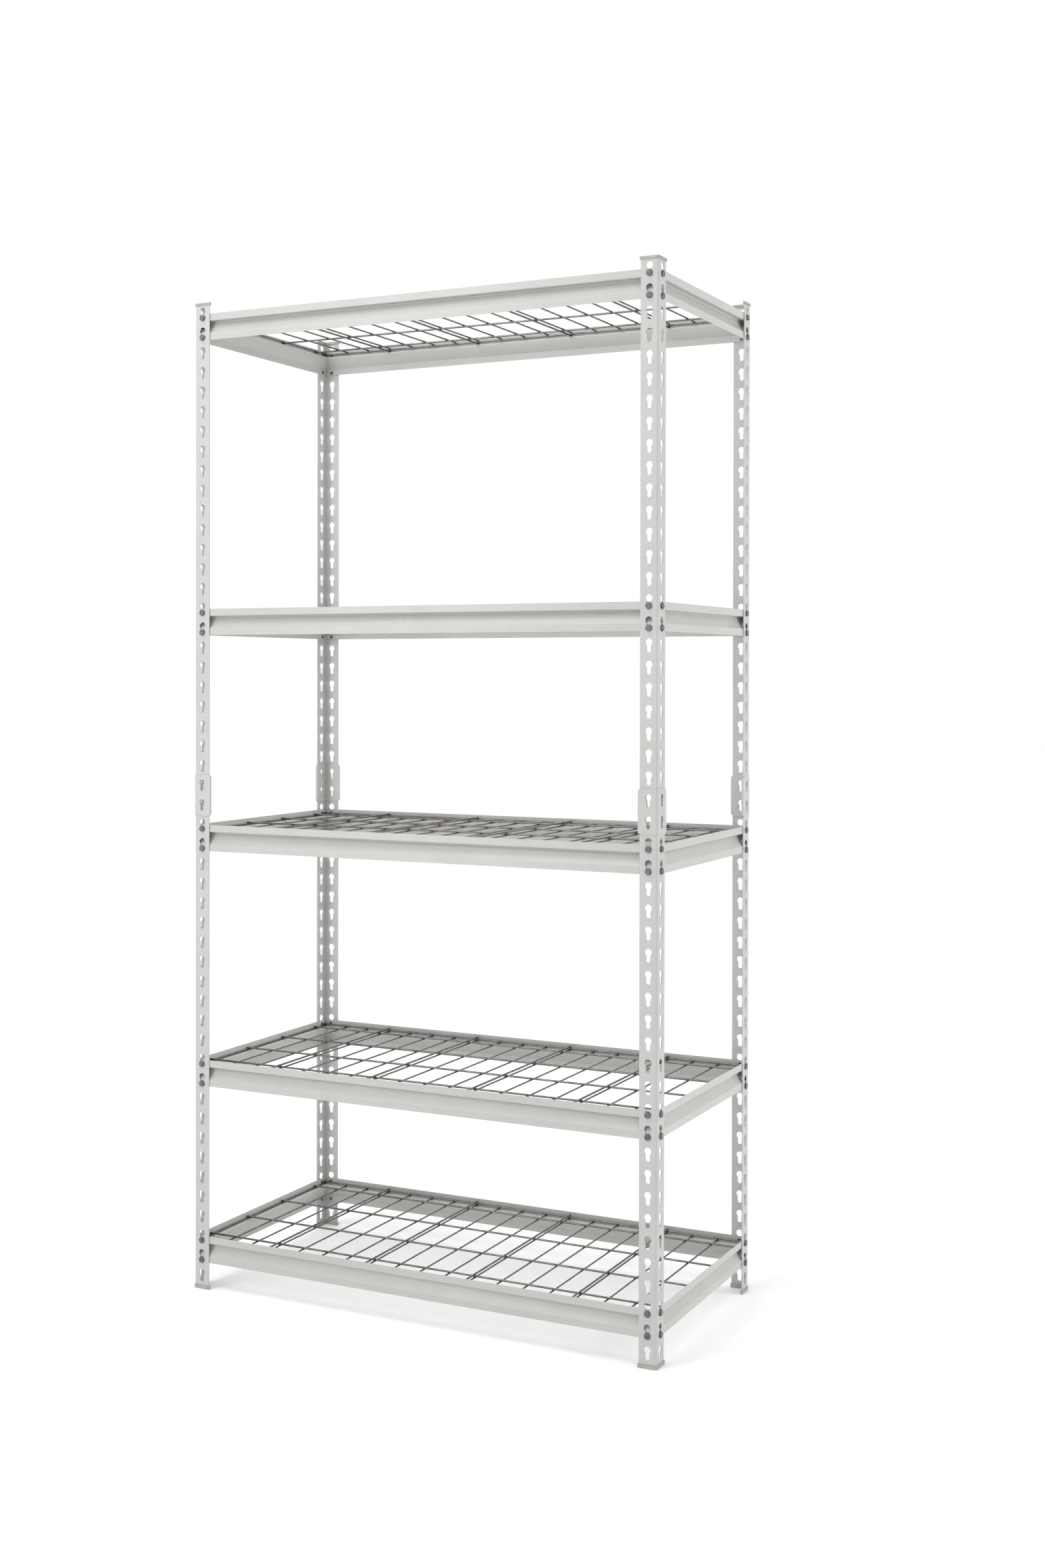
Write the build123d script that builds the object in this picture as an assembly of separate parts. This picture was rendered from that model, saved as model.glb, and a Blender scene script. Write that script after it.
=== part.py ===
"""Boltless steel shelving: five shelves on four keyhole-punched angle posts.

Millimetres, +Z up, +Y to the back, +X to the right seen from the front.
The origin is the centre of the footprint, on the floor.
"""

from build123d import *
import os

# ---- Driving dimensions -------------------------------------------------------------------

WIDTH = 926.0                # over the outer faces of the posts
DEPTH = 450.0
KEYHOLE_PITCH = 36.4
KEYHOLES_PER_HALF = 25       # in each flange of one half post

FOOT_THICKNESS = 3.0         # plastic under the end of the post
CAP_THICKNESS = 2.0          # plastic over the end of the post
POST_TOE = 4.0               # how much longer the lower half of a post is, at its foot

# Angle post
FLANGE = 31.8
POST_SHEET = 1.4
POST_BEND = 3.5              # outer radius of the rolled corner
KEYHOLE_LINE = 16.3          # from the outer corner to the middle of the keyholes

# Keyhole, measured from the middle of its height
KEYHOLE_HEIGHT = 22.8
KEYHOLE_ROUND = 12.4         # diameter of the round part, at the top
KEYHOLE_SLOT = 7.6           # width of the slot, at the bottom
KEYHOLE_SHOULDER = 5.0       # radius where the round part runs into the slot
KEYHOLE_TOE = 0.45           # radius at the bottom of the slot, as a share of its width
CONNECTOR_KEYHOLE_INSET = 0.8

# Rivet: head outside the flange, neck in the slot, shank and tail in the beam
RIVET_HEAD = 10.8
RIVET_HEAD_HEIGHT = 2.7
RIVET_CROWN = 0.9            # how far in the edge of the head starts to round over
RIVET_CROWN_STEP = 0.3       # the first, flatter part of that rounding
RIVET_NECK = 6.9
RIVET_SHANK = 5.0
RIVET_TAIL = 6.2
RIVET_TAIL_HEIGHT = 1.2
RIVET_TAIL_CHAMFER = 0.5
RIVET_GAP = 0.3              # under the head, and under the neck in the slot

# Shelf beam, a rolled sigma section
BEAM_SHEET = 1.1
BEAM_HEIGHT = 48.5
BEAM_TOP_BAND = 12.5         # from the top edge down to the ledge
BEAM_LOWER_BAND = 12.5
BEAM_LEDGE = 12.0            # how far the ledge reaches in
BEAM_BEND = 1.6              # radius of the bends, on the middle of the sheet
BEAM_INNER_BEND = 2.6        # the same, where the ledge turns down into the web
BEAM_WEB_SAG = 1.7           # how far the curved web lies inside a straight one
BEAM_TOP_ABOVE_RIVET = 7.3
BEAM_GAP = 0.2               # between a beam and the flange that holds it
BEAM_END_TRIM = 2.8          # keeps the beam ends out of the bend of the post
MITRE_SEAM = 0.3             # between two beams at a corner

# Wire deck
CROSS_WIRE = 3.0             # front to back
LONG_WIRE = 3.5              # left to right
STIFFENER_WIRE = 3.5         # front to back, on the far side of the long wires
WELD_DEPTH = 0.4             # how far two crossing wires sink into each other
CROSS_SPACING = 50.8
CROSS_COUNT = 19
STIFFENED = (3, 7, 11, 15)   # cross wires that have a stiffener on them
LONG_WIRE_PLACES = (59.7, 179.1, 216.0)
LONG_WIRE_END = 459.6
CROSS_WIRE_END = 218.5
DECK_GAP = 0.1               # between a deck and the ledges

# Splice sleeve and plastic caps
CONNECTOR_HEIGHT = 76.0
CONNECTOR_SHEET = 1.1
CONNECTOR_REACH = 3.0        # past the free edge of the flange
CONNECTOR_CHAMFER = 4.0
CAP_WALL = 1.3
CAP_REACH = 1.6
CAP_SKIRT = 2.6
FOOT_SKIRT = 3.6
CAP_EDGE = 0.5
SLIP_FIT = 0.1               # between a sleeve or cap and the post

# Keyholes that carry each shelf, counted up from the floor: the lower one of each pair
SHELF_KEYHOLES = (1, 10, 22, 33, 48)

# ---- Worked-out dimensions ----------------------------------------------------------------

HALF_POST = KEYHOLES_PER_HALF * KEYHOLE_PITCH
CORNERS = {
    "front_left": (-1, -1, 0),
    "front_right": (1, -1, 90),
    "rear_right": (1, 1, 180),
    "rear_left": (-1, 1, 270),
}
BEAM_TURNS = {"front": 0, "right": 90, "back": 180, "left": 270}

# A seated rivet rests at the bottom of its slot.
RIVET_SEAT = -KEYHOLE_HEIGHT / 2 + RIVET_NECK / 2 + RIVET_GAP
# From the outer corner of a post to the outer face of a beam.
BEAM_INSET = POST_SHEET + BEAM_GAP


def keyhole_height(index):
    """Height above the floor of the middle of a keyhole, counted up from the floor."""
    return FOOT_THICKNESS + POST_TOE + (index + 0.5) * KEYHOLE_PITCH


def at_corner(shape, corner):
    """Turn a shape made for an outer corner at the origin to one of the four corners."""
    side, end, turn = CORNERS[corner]
    return Pos(side * WIDTH / 2, end * DEPTH / 2, 0) * Rot(0, 0, turn) * shape


# ---- Posts, connectors and caps -----------------------------------------------------------


def angle_face(grow, reach):
    """Section of the post, grown by `grow` all round and by `reach` at the free edges."""
    near = -grow
    far = POST_SHEET + grow
    end = FLANGE + reach
    outline = Polyline(
        (near, near), (end, near), (end, far), (far, far), (far, end), (near, end), close=True
    )
    face = make_face(outline)
    face = fillet(face.vertices().sort_by_distance((near, near))[0], POST_BEND + grow)
    inner_bend = POST_BEND - POST_SHEET - grow
    return fillet(face.vertices().sort_by_distance((far, far))[0], inner_bend)


def keyhole_cutter(inset):
    """Keyhole bars through both flanges, round part up, for a keyhole at height 0."""
    radius = KEYHOLE_ROUND / 2 - inset
    slot = KEYHOLE_SLOT - 2 * inset
    bottom = -KEYHOLE_HEIGHT / 2 + inset
    round_middle = KEYHOLE_HEIGHT / 2 - KEYHOLE_ROUND / 2
    slot_sketch = Pos(0, (bottom + round_middle) / 2) * Rectangle(slot, round_middle - bottom)
    slot_sketch = fillet(slot_sketch.vertices().group_by(Axis.Y)[0], slot * KEYHOLE_TOE)
    sketch = Pos(0, round_middle) * Circle(radius) + slot_sketch
    shoulder = round_middle - (radius ** 2 - (slot / 2) ** 2) ** 0.5
    corners = sketch.vertices().filter_by_position(Axis.Y, shoulder - 0.1, shoulder + 0.1)
    sketch = fillet(corners, KEYHOLE_SHOULDER)
    bar = Pos(KEYHOLE_LINE, 0, 0) * extrude(Plane.XZ * sketch, amount=FLANGE / 4, both=True)
    return [bar, Rot(0, 0, 90) * bar]


def cut_keyholes(body, heights, inset=0.0):
    bars = keyhole_cutter(inset)
    return body - [Pos(0, 0, height) * bar for height in heights for bar in bars]


def make_half_post(toe):
    """Half a post, standing on height -toe, with its first row of keyholes above height 0."""
    body = Pos(0, 0, -toe) * extrude(angle_face(0, 0), amount=toe + HALF_POST)
    return cut_keyholes(body, [(n + 0.5) * KEYHOLE_PITCH for n in range(KEYHOLES_PER_HALF)])


def make_connector():
    """Double-walled splice sleeve, folded round the free edges of both half posts."""
    outer = angle_face(SLIP_FIT + CONNECTOR_SHEET, CONNECTOR_REACH)
    cavity = angle_face(SLIP_FIT, CONNECTOR_REACH - CONNECTOR_SHEET)
    body = Pos(0, 0, -CONNECTOR_HEIGHT / 2) * extrude(outer - cavity, amount=CONNECTOR_HEIGHT)
    body = cut_keyholes(body, (-KEYHOLE_PITCH / 2, KEYHOLE_PITCH / 2), CONNECTOR_KEYHOLE_INSET)
    tip = FLANGE + CONNECTOR_REACH
    side = CONNECTOR_CHAMFER * 2 ** 0.5
    corner = Rot(0, 45, 0) * Box(side, FLANGE / 2, side)
    for end in (-CONNECTOR_HEIGHT / 2, CONNECTOR_HEIGHT / 2):
        body -= Pos(tip, 0, end) * corner
        body -= Pos(0, tip, end) * Rot(0, 0, 90) * corner
    return body


def make_cap(thickness, skirt):
    """Plastic cap for the end of a post, with its closed face at height 0, opening down."""
    outline = angle_face(SLIP_FIT + CAP_WALL, CAP_REACH)
    body = Pos(0, 0, -thickness - skirt) * extrude(outline, amount=thickness + skirt)
    body = chamfer(body.faces().sort_by(Axis.Z)[-1].edges(), CAP_EDGE)
    cavity = extrude(angle_face(SLIP_FIT, SLIP_FIT), amount=skirt)
    return body - Pos(0, 0, -thickness - skirt) * cavity


# ---- Shelves ------------------------------------------------------------------------------


def beam_middle_line():
    """Middle of the beam's sheet: top band, ledge, web that curves back out, lower band."""
    top = BEAM_TOP_ABOVE_RIVET
    bottom = top - BEAM_HEIGHT
    skin = BEAM_SHEET / 2
    heel = Vector(skin, top - BEAM_TOP_BAND - BEAM_SHEET / 2)
    brink = Vector(BEAM_LEDGE, heel.Y)
    foot = Vector(skin, bottom + BEAM_LOWER_BAND)
    inwards = (foot - brink).normalized().rotate(Axis.Z, 90)
    web_middle = (brink + foot) / 2 + inwards * BEAM_WEB_SAG
    line = Curve() + [
        Line((skin, top), heel),
        Line(heel, brink),
        ThreePointArc(brink, web_middle, foot),
        Line(foot, (skin, bottom)),
    ]
    wire = Wire(line.edges())
    for corner, radius in ((heel, BEAM_BEND), (brink, BEAM_INNER_BEND), (foot, BEAM_BEND)):
        wire = wire.fillet_2d(radius, [wire.vertices().sort_by_distance(corner)[0]])
    return wire


def make_beam(outer_span):
    """Sigma beam along X, centred, outer face at y = 0 facing -Y, upper rivets at height 0."""
    section = trace(beam_middle_line(), line_width=BEAM_SHEET)
    half = outer_span / 2
    square_end = half - BEAM_END_TRIM
    bar = extrude(Plane.YZ * section, amount=square_end, both=True)
    depth = 2 * BEAM_LEDGE
    mitred_end = half - depth - MITRE_SEAM / 2
    mitre_start = BEAM_END_TRIM - MITRE_SEAM / 2
    clear = -BEAM_SHEET
    plan = Polyline(
        (-square_end, clear),
        (square_end, clear),
        (square_end, mitre_start),
        (mitred_end, depth),
        (-mitred_end, depth),
        (-square_end, mitre_start),
        close=True,
    )
    bar = bar & extrude(make_face(plan), amount=2 * BEAM_HEIGHT, both=True)
    drill = Rot(90, 0, 0) * Cylinder(RIVET_SHANK / 2, 4 * BEAM_SHEET)
    place = half + BEAM_INSET - KEYHOLE_LINE
    return bar - [
        Pos(x, 0, z) * drill for x in (-place, place) for z in (0, -KEYHOLE_PITCH)
    ]


def make_rivet():
    """Rivet along Y, head towards -Y, with y = 0 on the outer face of the flange."""
    head = RIVET_HEAD / 2
    neck = RIVET_NECK / 2
    shank = RIVET_SHANK / 2
    tail = RIVET_TAIL / 2
    front = -RIVET_GAP - RIVET_HEAD_HEIGHT
    beam_back = BEAM_INSET + BEAM_SHEET
    end = beam_back + RIVET_TAIL_HEIGHT
    half_section = Polyline(
        (0, front),
        (head - RIVET_CROWN, front),
        (head - RIVET_CROWN_STEP, front + RIVET_CROWN_STEP),
        (head, front + RIVET_CROWN),
        (head, -RIVET_GAP),
        (neck, -RIVET_GAP),
        (neck, BEAM_INSET),
        (shank, BEAM_INSET),
        (shank, beam_back),
        (tail, beam_back),
        (tail, end - RIVET_TAIL_CHAMFER),
        (tail - RIVET_TAIL_CHAMFER, end),
        (0, end),
        close=True,
    )
    return revolve(make_face(half_section), axis=Axis.Y)


def rivets_on_beam(outer_span, rivet):
    place = outer_span / 2 + BEAM_INSET - KEYHOLE_LINE
    return [
        Pos(x, -BEAM_INSET, z) * rivet for x in (-place, place) for z in (0, -KEYHOLE_PITCH)
    ]


def make_deck():
    """Welded wire deck, lying on height 0, stiffeners on top."""
    cross_z = CROSS_WIRE / 2
    long_z = CROSS_WIRE - WELD_DEPTH + LONG_WIRE / 2
    stiffener_z = long_z + (LONG_WIRE + STIFFENER_WIRE) / 2 - WELD_DEPTH
    wires = []
    for index in range(CROSS_COUNT):
        x = (index - (CROSS_COUNT - 1) / 2) * CROSS_SPACING
        cross_wire = Rot(90, 0, 0) * Cylinder(CROSS_WIRE / 2, 2 * CROSS_WIRE_END)
        wires.append(Pos(x, 0, cross_z) * cross_wire)
        if index in STIFFENED:
            stiffener = Rot(90, 0, 0) * Cylinder(STIFFENER_WIRE / 2, 2 * CROSS_WIRE_END)
            wires.append(Pos(x, 0, stiffener_z) * stiffener)
    long_wire = Rot(0, 90, 0) * Cylinder(LONG_WIRE / 2, 2 * LONG_WIRE_END)
    long_wires = [
        Pos(0, side * place, long_z) * long_wire for place in LONG_WIRE_PLACES for side in (-1, 1)
    ]
    return long_wires[0] + long_wires[1:] + wires


# ---- Assembly -----------------------------------------------------------------------------


def save(shape, node):
    export_step(shape, f"parts/{node}.step")


def save_frame():
    lower_half = make_half_post(POST_TOE)
    upper_half = make_half_post(0)
    connector = make_connector()
    top_cap = make_cap(CAP_THICKNESS, CAP_SKIRT)
    foot = mirror(make_cap(FOOT_THICKNESS, FOOT_SKIRT), about=Plane.XY)
    first_keyholes = FOOT_THICKNESS + POST_TOE
    joint_height = first_keyholes + HALF_POST
    total_height = joint_height + HALF_POST + CAP_THICKNESS
    for corner in CORNERS:
        save(at_corner(Pos(0, 0, first_keyholes) * lower_half, corner), f"post_lower_{corner}")
        save(at_corner(Pos(0, 0, joint_height) * upper_half, corner), f"post_upper_{corner}")
        save(at_corner(Pos(0, 0, joint_height) * connector, corner), f"post_connector_{corner}")
        save(at_corner(Pos(0, 0, total_height) * top_cap, corner), f"top_cap_{corner}")
        save(at_corner(foot, corner), f"foot_{corner}")


def save_shelves():
    rivet = make_rivet()
    spans = {"front": WIDTH, "right": DEPTH, "back": WIDTH, "left": DEPTH}
    spans = {name: span - 2 * BEAM_INSET for name, span in spans.items()}
    across = {"front": DEPTH, "right": WIDTH, "back": DEPTH, "left": WIDTH}
    beams = {name: make_beam(span) for name, span in spans.items()}
    deck = make_deck()
    deck_height = deck.bounding_box().max.Z
    flipped_deck = Pos(0, 0, deck_height) * Rot(180, 0, 0) * deck
    for number, keyhole in enumerate(SHELF_KEYHOLES, start=1):
        upper_rivets = keyhole_height(keyhole) + KEYHOLE_PITCH + RIVET_SEAT
        rivets = []
        for name, turn in BEAM_TURNS.items():
            outer_face = across[name] / 2 - BEAM_INSET
            place = Rot(0, 0, turn) * Pos(0, -outer_face, upper_rivets)
            save(place * beams[name], f"shelf_{number}_beam_{name}")
            rivets += [place * shape for shape in rivets_on_beam(spans[name], rivet)]
        save(Compound(rivets), f"shelf_{number}_rivets")
        ledge = upper_rivets + BEAM_TOP_ABOVE_RIVET - BEAM_TOP_BAND
        laid_deck = flipped_deck if number == len(SHELF_KEYHOLES) else deck
        save(Pos(0, 0, ledge + DECK_GAP) * laid_deck, f"shelf_{number}_wire_deck")


os.makedirs("parts", exist_ok=True)
save_frame()
save_shelves()
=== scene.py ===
import math

import bmesh
import bpy
from mathutils import Euler, Matrix, Vector


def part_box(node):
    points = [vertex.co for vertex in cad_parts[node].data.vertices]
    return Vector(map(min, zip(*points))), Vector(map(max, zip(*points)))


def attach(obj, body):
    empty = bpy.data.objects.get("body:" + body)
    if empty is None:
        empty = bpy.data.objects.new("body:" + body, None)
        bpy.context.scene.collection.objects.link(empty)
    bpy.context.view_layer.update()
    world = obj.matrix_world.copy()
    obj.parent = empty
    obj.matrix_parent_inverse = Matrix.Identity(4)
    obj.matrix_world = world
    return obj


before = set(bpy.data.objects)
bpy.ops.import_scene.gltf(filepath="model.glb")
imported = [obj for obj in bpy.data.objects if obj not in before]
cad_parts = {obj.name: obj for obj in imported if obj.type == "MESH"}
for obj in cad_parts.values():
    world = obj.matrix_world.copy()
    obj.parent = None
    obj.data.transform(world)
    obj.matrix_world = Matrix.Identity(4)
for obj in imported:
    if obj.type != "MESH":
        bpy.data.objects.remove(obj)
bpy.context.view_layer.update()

# ---- Places and sizes, in metres -----------------------------------------------------------

SHELVES = range(1, 6)
FLIPPED_DECK = 5                       # the top deck lies upside down

CROSS_SPACING = 0.0508                 # cross wires, front to back
CROSS_COUNT = 19
STIFFENED = (3, 7, 11, 15)             # cross wires with a stiffener on them
LONG_WIRE_PLACES = (0.0597, 0.1791, 0.2160)
CROSS_JOINT_HEIGHT = 0.0028            # from the deck's underside to the lower weld
STIFFENER_JOINT_HEIGHT = 0.0059        # and to the upper one

FLASH_RINGS = (                        # (share of the full radius, share of the half height)
    (0.45, 1.0),
    (0.85, 0.7),
    (1.0, 0.0),
    (0.85, -0.7),
    (0.45, -1.0),
)
FLASH_POINTS = 16
FLASH_RADIUS = 0.0018
FLASH_LOBE = 0.0007
FLASH_HALF_HEIGHT = 0.0006

HEAT_NEAR = 0.0025                     # the heat marks are full up to here from a weld
HEAT_FAR = 0.0085                      # and gone from here on

CAMERA_PLACE = Vector((1.6084, -3.0455, 1.1427))
CAMERA_YAW = math.radians(26.28)
CAMERA_PITCH = math.radians(-0.34)
CAMERA_ROLL = math.radians(0.10)
CAMERA_LENS = 42.57
CAMERA_SHIFT_Y = -0.0631

FLOOR_RADIUS = 40.0
FLOOR_PAINTED_SHADE_REACH = 1.5                     # radius of the painted shade in the middle of the floor, which offsets the softboxes' light there
FLOOR_EDGE = 7.0                       # radius from which the painted shade is gone and the floor is at its palest

# Name, place, what it points at, width, length, power in watts.
SOFTBOXES = (
    ("overhead_softbox", (-0.7, -1.3, 3.7), (0, 0, 0.9), 2.0, 1.6, 34),
    ("front_softbox", (-1.75, -3.3, 1.9), (0, 0, 1.3), 0.8, 3.8, 46),
    ("right_softbox", (3.4, 0.9, 1.4), (0, 0, 1.0), 1.4, 1.8, 36),
)

# ---- Colours, linear -----------------------------------------------------------------------

# How light a paint is, and its green and blue as shares of its red.
POST_PAINT = (0.415, 0.995, 0.972)
CONNECTOR_PAINT = (0.415, 0.990, 0.965)
LONG_BEAM_PAINT = (0.415, 0.978, 0.940)
# painted light: the short beams use the same paint as the long beams, made lighter to make up
# for the light their sideways faces lack
SHORT_BEAM_PAINT_WITH_PAINTED_LIGHT = (0.435, 0.978, 0.940)

WIRE_DULL = (0.125, 0.121, 0.117, 1.0)
WIRE_RUBBED = (0.180, 0.173, 0.165, 1.0)
WIRE_BURNT = (0.075, 0.066, 0.060, 1.0)
WIRE_PIT = (0.070, 0.067, 0.064, 1.0)
FLASH_DARK = (0.095, 0.088, 0.082, 1.0)
FLASH_LIGHT = (0.170, 0.160, 0.151, 1.0)
ZINC_DARK = (0.082, 0.093, 0.104, 1.0)
ZINC_LIGHT = (0.165, 0.178, 0.192, 1.0)
ZINC_DULL = (0.055, 0.061, 0.067, 1.0)
PLASTIC_DARK = (0.300, 0.286, 0.266, 1.0)
PLASTIC_LIGHT = (0.355, 0.338, 0.316, 1.0)
PLASTIC_SCUFF = (0.230, 0.220, 0.206, 1.0)
WHITE = (1.0, 1.0, 1.0, 1.0)
# painted shade: the floor's colour near the middle, darker than white to offset the softboxes'
# light
FLOOR_PAINTED_SHADE = (0.90, 0.90, 0.90, 1.0)

# ---- Node helpers --------------------------------------------------------------------------


class Graph:
    """The node tree of one material, with short calls for the nodes that the looks use."""

    def __init__(self, name):
        self.material = bpy.data.materials.new(name)
        self.material.use_nodes = True
        self.nodes = self.material.node_tree.nodes
        self.links = self.material.node_tree.links
        self.shader = self.nodes["Principled BSDF"]
        self.place = self.nodes.new("ShaderNodeTexCoord").outputs["Object"]

    def set(self, **values):
        """Sets plain values on the shader itself."""
        for label, value in values.items():
            self.shader.inputs[label.replace("_", " ")].default_value = value

    def join(self, output, socket):
        self.links.new(output, self.shader.inputs[socket])

    def stretched(self, scale):
        """The object's own coordinates, scaled along each axis."""
        node = self.nodes.new("ShaderNodeMapping")
        node.inputs["Scale"].default_value = scale
        self.links.new(self.place, node.inputs["Vector"])
        return node.outputs["Vector"]

    def noise(self, scale, detail=2.0, rough=0.5, vector=None):
        node = self.nodes.new("ShaderNodeTexNoise")
        node.inputs["Scale"].default_value = scale
        node.inputs["Detail"].default_value = detail
        node.inputs["Roughness"].default_value = rough
        self.links.new(vector or self.place, node.inputs["Vector"])
        return node.outputs["Fac"]

    def cells(self, scale):
        """Distance from the middle of the nearest cell."""
        node = self.nodes.new("ShaderNodeTexVoronoi")
        node.inputs["Scale"].default_value = scale
        self.links.new(self.place, node.inputs["Vector"])
        return node.outputs["Distance"]

    def remap(self, value, low, high, to_low, to_high):
        """Low to high becomes to_low to to_high, and stays inside them."""
        node = self.nodes.new("ShaderNodeMapRange")
        for label, number in zip(
            ("From Min", "From Max", "To Min", "To Max"), (low, high, to_low, to_high)
        ):
            node.inputs[label].default_value = number
        self.links.new(value, node.inputs["Value"])
        return node.outputs["Result"]

    def feed(self, value, socket):
        """Links an output to a socket, or sets a plain value on it."""
        if isinstance(value, bpy.types.NodeSocket):
            self.links.new(value, socket)
        else:
            socket.default_value = value

    def blend(self, factor, first, second):
        """A colour between two others."""
        node = self.nodes.new("ShaderNodeMix")
        node.data_type = "RGBA"
        for socket, value in zip((0, 6, 7), (factor, first, second)):
            self.feed(value, node.inputs[socket])
        return node.outputs[2]

    def ease(self, factor, first, second):
        """A number between two others."""
        node = self.nodes.new("ShaderNodeMix")
        for socket, value in zip((0, 2, 3), (factor, first, second)):
            self.feed(value, node.inputs[socket])
        return node.outputs[0]

    def math(self, operation, *values):
        node = self.nodes.new("ShaderNodeMath")
        node.operation = operation
        for socket, value in zip(node.inputs, values):
            self.feed(value, socket)
        return node.outputs[0]

    def axes(self, vector):
        node = self.nodes.new("ShaderNodeSeparateXYZ")
        self.links.new(vector, node.inputs[0])
        return node.outputs

    def bump(self, height, distance, under=None):
        """A bumped normal; under is another one that it goes on top of."""
        node = self.nodes.new("ShaderNodeBump")
        node.inputs["Distance"].default_value = distance
        self.links.new(height, node.inputs["Height"])
        if under:
            self.links.new(under, node.inputs["Normal"])
        return node.outputs["Normal"]


def shaded(colour, share):
    """The same colour, lighter or darker."""
    return (colour[0] * share, colour[1] * share, colour[2] * share, 1.0)


# ---- Materials -----------------------------------------------------------------------------


def powder_coat(name, paint, rolled_along):
    """Satin warm white-grey powder coat on rolled sheet.

    From large to small: a slow drift of shade, soft handling smudges that shine a little more,
    roll lines of the sheet under the paint, orange peel, and a few dark specks.
    """
    g = Graph(name)
    light, green, blue = paint
    tint = (light, light * green, light * blue, 1.0)
    drift = g.remap(g.noise(4.0, detail=4.0), 0.35, 0.65, 0.0, 1.0)
    colour = g.blend(drift, shaded(tint, 0.965), shaded(tint, 1.03))
    mottle = g.remap(g.noise(160.0, detail=4.0, rough=0.6), 0.35, 0.65, 0.0, 1.0)
    colour = g.blend(mottle, colour, shaded(tint, 1.02))
    smudge = g.remap(g.noise(14.0, detail=2.0), 0.48, 0.78, 0.0, 0.5)
    colour = g.blend(smudge, colour, shaded(tint, 0.92))
    specks = g.remap(g.noise(900.0, detail=1.0), 0.70, 0.76, 0.0, 0.22)
    colour = g.blend(specks, colour, shaded(tint, 0.55))
    g.join(colour, "Base Color")
    lines = [420.0, 420.0, 420.0]
    lines["XYZ".index(rolled_along)] = 3.0
    rolled = g.noise(1.0, detail=2.0, vector=g.stretched(lines))
    satin = g.remap(g.noise(260.0, detail=3.0), 0.3, 0.7, 0.30, 0.40)
    rubbed = g.remap(g.noise(18.0, detail=1.5), 0.35, 0.75, 0.0, 1.0)
    g.join(g.ease(rubbed, satin, 0.27), "Roughness")
    normal = g.bump(rolled, 0.00004)
    normal = g.bump(g.noise(620.0, detail=1.5), 0.00006, under=normal)
    normal = g.bump(g.noise(2600.0, detail=1.0), 0.000015, under=normal)
    g.join(normal, "Normal")
    return g.material


def heat_marks(g):
    """1 at each weld of a deck, falling off to 0 about 8 mm away along both wires."""
    x, y, _ = g.axes(g.place)
    half = CROSS_SPACING / 2
    across = g.math("ABSOLUTE", g.math("WRAP", x, half, -half))
    from_middle = g.math("ABSOLUTE", y)
    along = None
    for place in LONG_WIRE_PLACES:
        gap = g.math("ABSOLUTE", g.math("SUBTRACT", from_middle, place))
        along = gap if along is None else g.math("MINIMUM", along, gap)
    reach = g.math("MAXIMUM", across, along)
    return g.remap(reach, HEAT_NEAR, HEAT_FAR, 1.0, 0.0)


def plated_wire(name):
    """Dark plated steel wire: rubbed patches, fine pits, and a little darker at the welds."""
    g = Graph(name)
    patches = g.remap(g.noise(60.0, detail=4.0, rough=0.6), 0.40, 0.62, 0.0, 1.0)
    colour = g.blend(patches, WIRE_DULL, WIRE_RUBBED)
    burnt = g.remap(g.noise(420.0, detail=3.0), 0.35, 0.6, 0.1, 0.45)
    heat = g.math("MULTIPLY", heat_marks(g), burnt)
    colour = g.blend(heat, colour, WIRE_BURNT)
    pits = g.remap(g.noise(1400.0, detail=2.0), 0.64, 0.76, 0.0, 0.3)
    colour = g.blend(pits, colour, WIRE_PIT)
    g.join(colour, "Base Color")
    g.join(g.remap(g.noise(150.0, detail=3.0), 0.3, 0.7, 0.25, 0.33), "Roughness")
    g.join(g.bump(g.noise(900.0, detail=2.0), 0.000002), "Normal")
    g.set(Metallic=0.95)
    return g.material


def weld_flash(name):
    """Burnt metal squeezed out of the spot welds."""
    g = Graph(name)
    scale = g.remap(g.noise(900.0, detail=3.0), 0.35, 0.65, 0.0, 1.0)
    g.join(g.blend(scale, FLASH_DARK, FLASH_LIGHT), "Base Color")
    g.join(g.remap(g.noise(1500.0), 0.3, 0.7, 0.30, 0.60), "Roughness")
    g.join(g.bump(g.noise(2200.0, detail=2.0), 0.00008), "Normal")
    g.set(Metallic=0.8)
    return g.material


def zinc_rivet(name):
    """Zinc plate, bluish grey, with a faint spangle, dull patches and handling scratches."""
    g = Graph(name)
    spangle = g.remap(g.cells(700.0), 0.0, 0.9, 0.0, 1.0)
    colour = g.blend(spangle, ZINC_DARK, ZINC_LIGHT)
    dull = g.remap(g.noise(260.0, detail=4.0, rough=0.6), 0.48, 0.66, 0.0, 0.75)
    colour = g.blend(dull, colour, ZINC_DULL)
    g.join(colour, "Base Color")
    scratches = g.noise(1.0, detail=2.0, vector=g.stretched((900.0, 900.0, 90.0)))
    g.join(g.remap(scratches, 0.3, 0.7, 0.22, 0.44), "Roughness")
    normal = g.bump(scratches, 0.00003)
    g.join(g.bump(g.noise(1200.0, detail=2.0), 0.00005, under=normal), "Normal")
    g.set(Metallic=0.9)
    return g.material


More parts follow.
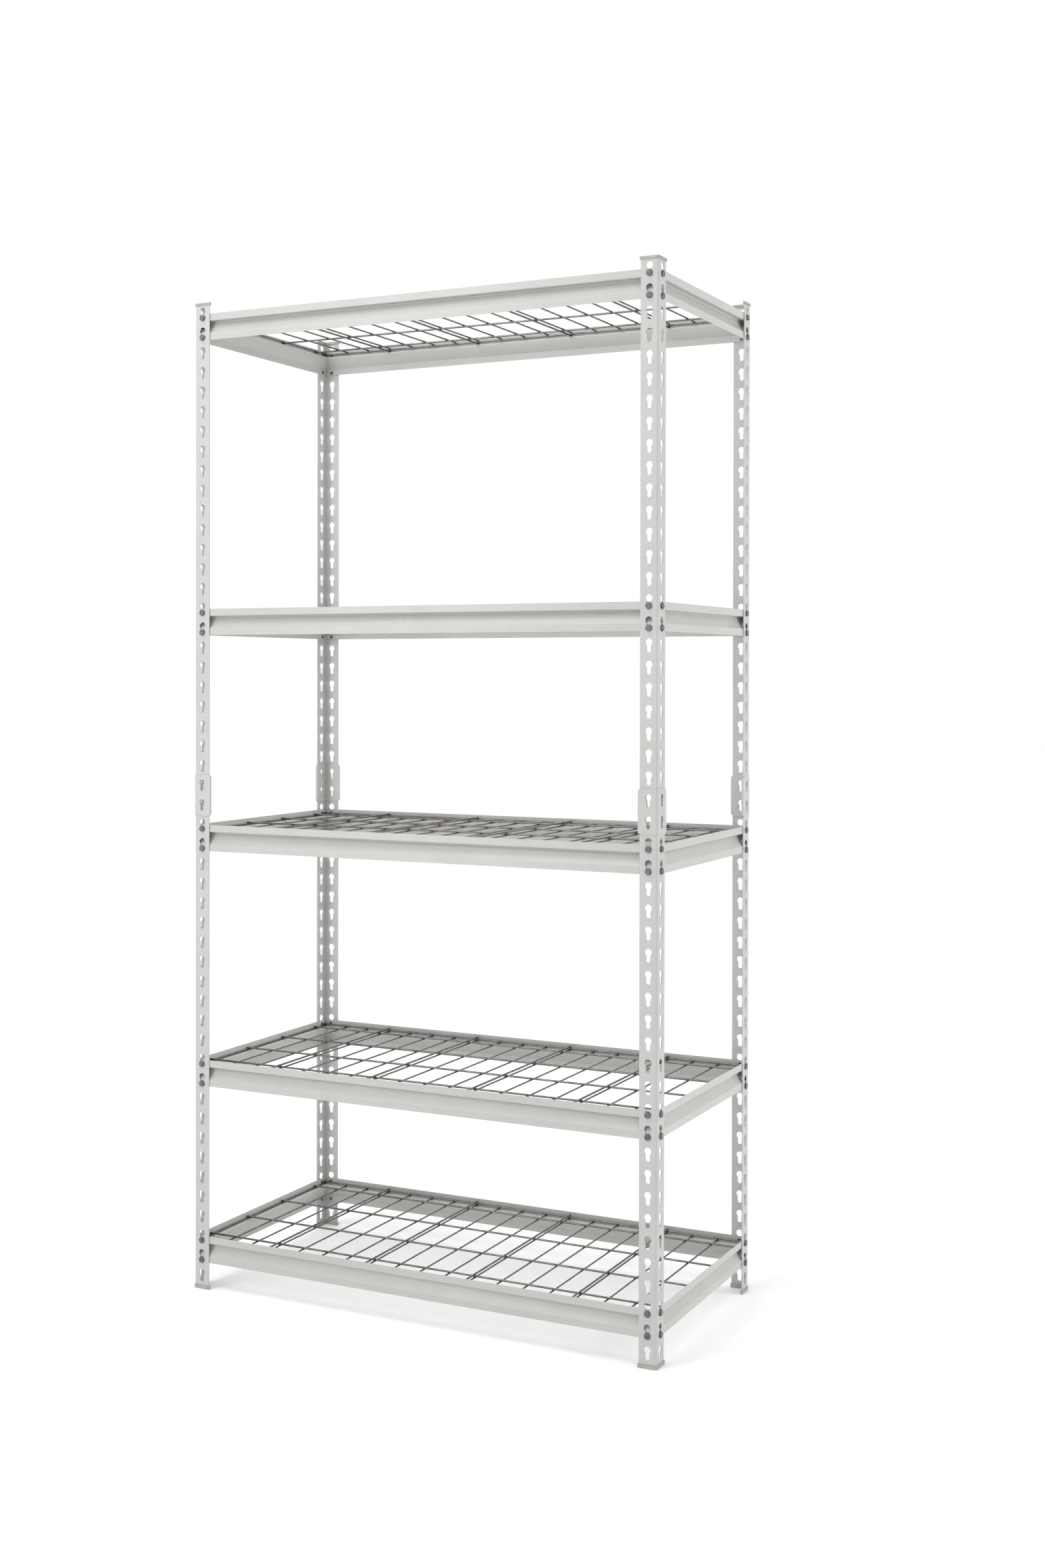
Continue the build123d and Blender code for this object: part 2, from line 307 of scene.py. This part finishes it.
def moulded_plastic(name):
    """Grey injection-moulded plastic with a spark-eroded grain and faint flow marks."""
    g = Graph(name)
    flow = g.noise(1.0, detail=3.0, vector=g.stretched((60.0, 60.0, 200.0)))
    shade = g.remap(flow, 0.3, 0.7, 0.0, 1.0)
    colour = g.blend(shade, PLASTIC_DARK, PLASTIC_LIGHT)
    scuffs = g.remap(g.noise(140.0, detail=5.0, rough=0.65), 0.55, 0.68, 0.0, 0.5)
    colour = g.blend(scuffs, colour, PLASTIC_SCUFF)
    g.join(colour, "Base Color")
    g.join(g.remap(g.noise(800.0, detail=2.0), 0.3, 0.7, 0.44, 0.62), "Roughness")
    normal = g.bump(g.noise(2400.0, detail=2.0), 0.00005)
    g.join(g.bump(g.noise(300.0, detail=1.0), 0.00005, under=normal), "Normal")
    g.set(Specular_IOR_Level=0.4)
    return g.material


def studio_floor(name):
    """Pale paper with a hardly visible tooth, and painted shade in the middle that offsets the
    softboxes' extra light there.
    """
    g = Graph(name)
    x, y, _ = g.axes(g.place)
    reach = g.math("SQRT", g.math("ADD", g.math("POWER", x, 2.0), g.math("POWER", y, 2.0)))
    outwards = g.remap(reach, FLOOR_PAINTED_SHADE_REACH, FLOOR_EDGE, 0.0, 1.0)
    # painted shade: darker floor colour near the middle, where the softboxes light it most
    g.join(g.blend(outwards, FLOOR_PAINTED_SHADE, WHITE), "Base Color")
    g.join(g.bump(g.noise(300.0), 0.0002), "Normal")
    g.set(Roughness=0.9, Specular_IOR_Level=0.1)
    return g.material


def dress_frame():
    """Gives every CAD node its material."""
    upright = powder_coat("post_powder_coat", POST_PAINT, "Z")
    sleeve = powder_coat("connector_powder_coat", CONNECTOR_PAINT, "Z")
    long_beam = powder_coat("long_beam_powder_coat", LONG_BEAM_PAINT, "X")
    # painted light: a lighter copy of the beam paint for the short beams' sideways faces
    short_beam_with_painted_light = powder_coat("short_beam_powder_coat_painted_light", SHORT_BEAM_PAINT_WITH_PAINTED_LIGHT, "Y")
    rivets = zinc_rivet("zinc_plate")
    wires = plated_wire("wire_plate")
    plastic = moulded_plastic("cap_plastic")
    by_start = {"post_connector": sleeve, "post_": upright, "top_cap": plastic, "foot": plastic}
    by_end = {
        "beam_front": long_beam,
        "beam_back": long_beam,
        "beam_left": short_beam_with_painted_light,
        "beam_right": short_beam_with_painted_light,
        "rivets": rivets,
        "wire_deck": wires,
    }
    for node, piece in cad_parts.items():
        matches = [m for start, m in by_start.items() if node.startswith(start)]
        matches += [m for end, m in by_end.items() if node.endswith(end)]
        piece.data.materials.clear()
        piece.data.materials.append(matches[0])


# ---- Weld flash on the decks ---------------------------------------------------------------


def flash_radius(turn, place):
    """Weld metal runs out between the wires, in four uneven lobes."""
    lobe = abs(math.sin(2 * turn)) ** 1.5
    uneven = 0.5 + 0.5 * math.sin(3 * turn + 61 * place.x + 37 * place.y)
    return FLASH_RADIUS + FLASH_LOBE * lobe * (0.6 + 0.4 * uneven)


def add_flash(mesh, place):
    """One closed button of weld metal: rings of points, skinned and capped."""
    rings = []
    for share, height in FLASH_RINGS:
        ring = []
        for n in range(FLASH_POINTS):
            turn = 2 * math.pi * n / FLASH_POINTS
            reach = share * flash_radius(turn, place)
            offset = Vector((math.cos(turn), math.sin(turn), 0)) * reach
            offset.z = height * FLASH_HALF_HEIGHT
            ring.append(mesh.verts.new(place + offset))
        rings.append(ring)
    for upper, lower in zip(rings, rings[1:]):
        for n in range(FLASH_POINTS):
            m = (n + 1) % FLASH_POINTS
            mesh.faces.new((upper[n], lower[n], lower[m], upper[m]))
    mesh.faces.new(rings[0])
    mesh.faces.new(reversed(rings[-1]))


def weld_places(shelf):
    """Every crossing of a deck's wires, as points between the two wires."""
    low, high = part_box(f"shelf_{shelf}_wire_deck")
    flipped = shelf == FLIPPED_DECK
    for index in range(CROSS_COUNT):
        x = (index - (CROSS_COUNT - 1) / 2) * CROSS_SPACING
        joints = [CROSS_JOINT_HEIGHT]
        if index in STIFFENED:
            joints.append(STIFFENER_JOINT_HEIGHT)
        for joint in joints:
            z = high.z - joint if flipped else low.z + joint
            for y in LONG_WIRE_PLACES:
                yield Vector((x, y, z))
                yield Vector((x, -y, z))


def make_weld_flash(shelf, material):
    """The weld metal of one deck as one piece, which moves with the deck."""
    mesh = bmesh.new()
    for place in weld_places(shelf):
        add_flash(mesh, place)
    bmesh.ops.recalc_face_normals(mesh, faces=mesh.faces)
    data = bpy.data.meshes.new(f"deck_{shelf}_weld_flash")
    mesh.to_mesh(data)
    mesh.free()
    data.shade_smooth()
    piece = bpy.data.objects.new(f"deck_{shelf}_weld_flash", data)
    bpy.context.scene.collection.objects.link(piece)
    data.materials.append(material)
    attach(piece, f"deck_{shelf}")


# ---- Studio --------------------------------------------------------------------------------


def make_floor():
    """A wide round pale floor."""
    mesh = bmesh.new()
    bmesh.ops.create_circle(mesh, cap_ends=True, radius=FLOOR_RADIUS, segments=96)
    data = bpy.data.meshes.new("studio_floor")
    mesh.to_mesh(data)
    mesh.free()
    data.materials.append(studio_floor("studio_paper"))
    floor = bpy.data.objects.new("studio_floor", data)
    bpy.context.scene.collection.objects.link(floor)


def add_light(name, place, target, width, length, power):
    """A rectangular area light that points at the target and stays out of the picture."""
    light = bpy.data.lights.new(name, "AREA")
    light.shape = "RECTANGLE"
    light.size = width
    light.size_y = length
    light.energy = power
    lamp = bpy.data.objects.new(name, light)
    lamp.location = place
    lamp.rotation_euler = (Vector(target) - Vector(place)).to_track_quat("-Z", "Y").to_euler()
    lamp.visible_camera = False
    bpy.context.scene.collection.objects.link(lamp)


def light_studio():
    """White surroundings, and softboxes that model the bends and put a glint on the wires."""
    world = bpy.data.worlds.new("studio")
    world.use_nodes = True
    background = world.node_tree.nodes["Background"]
    background.inputs["Color"].default_value = WHITE
    background.inputs["Strength"].default_value = 1.0
    bpy.context.scene.world = world
    bpy.context.scene.view_settings.view_transform = "Standard"
    for softbox in SOFTBOXES:
        add_light(*softbox)


def add_camera():
    """The photograph's viewing angle."""
    data = bpy.data.cameras.new("camera")
    data.lens = CAMERA_LENS
    data.shift_y = CAMERA_SHIFT_Y
    camera = bpy.data.objects.new("camera", data)
    turn = Euler((math.pi / 2 + CAMERA_PITCH, 0, CAMERA_YAW)).to_matrix()
    roll = Matrix.Rotation(CAMERA_ROLL, 3, "Z")
    camera.matrix_world = Matrix.Translation(CAMERA_PLACE) @ (turn @ roll).to_4x4()
    bpy.context.scene.collection.objects.link(camera)
    bpy.context.scene.camera = camera


dress_frame()
flash = weld_flash("weld_flash")
for shelf in SHELVES:
    make_weld_flash(shelf, flash)
make_floor()
light_studio()
add_camera()
